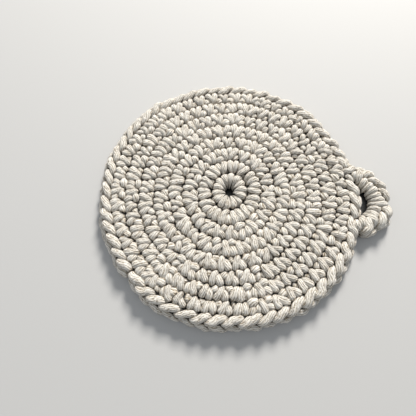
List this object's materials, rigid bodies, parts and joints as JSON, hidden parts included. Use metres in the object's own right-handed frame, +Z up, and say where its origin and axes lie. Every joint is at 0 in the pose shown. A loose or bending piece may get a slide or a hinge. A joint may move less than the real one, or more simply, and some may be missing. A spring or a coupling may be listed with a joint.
{
  "type": "crocheted pot holder",
  "caption": "Round pot holder crocheted in the round from thick cotton cord, lying flat, with a chained rim and a crocheted hanging loop at one side.",
  "frame": {"origin": "the middle of the whole piece's outline, on the surface that it lies on", "axes": "+Z up out of the worked face, +X from the disc's centre to the hanging loop"},
  "size_m": [0.2116, 0.19, 0.012],
  "materials": {
    "cotton_cord": "matte, undyed, softly twisted cotton"
  },
  "bodies": {
    "root": {"disc": "cotton_cord", "hanging_loop": "cotton_cord"}
  },
  "joints": []
}
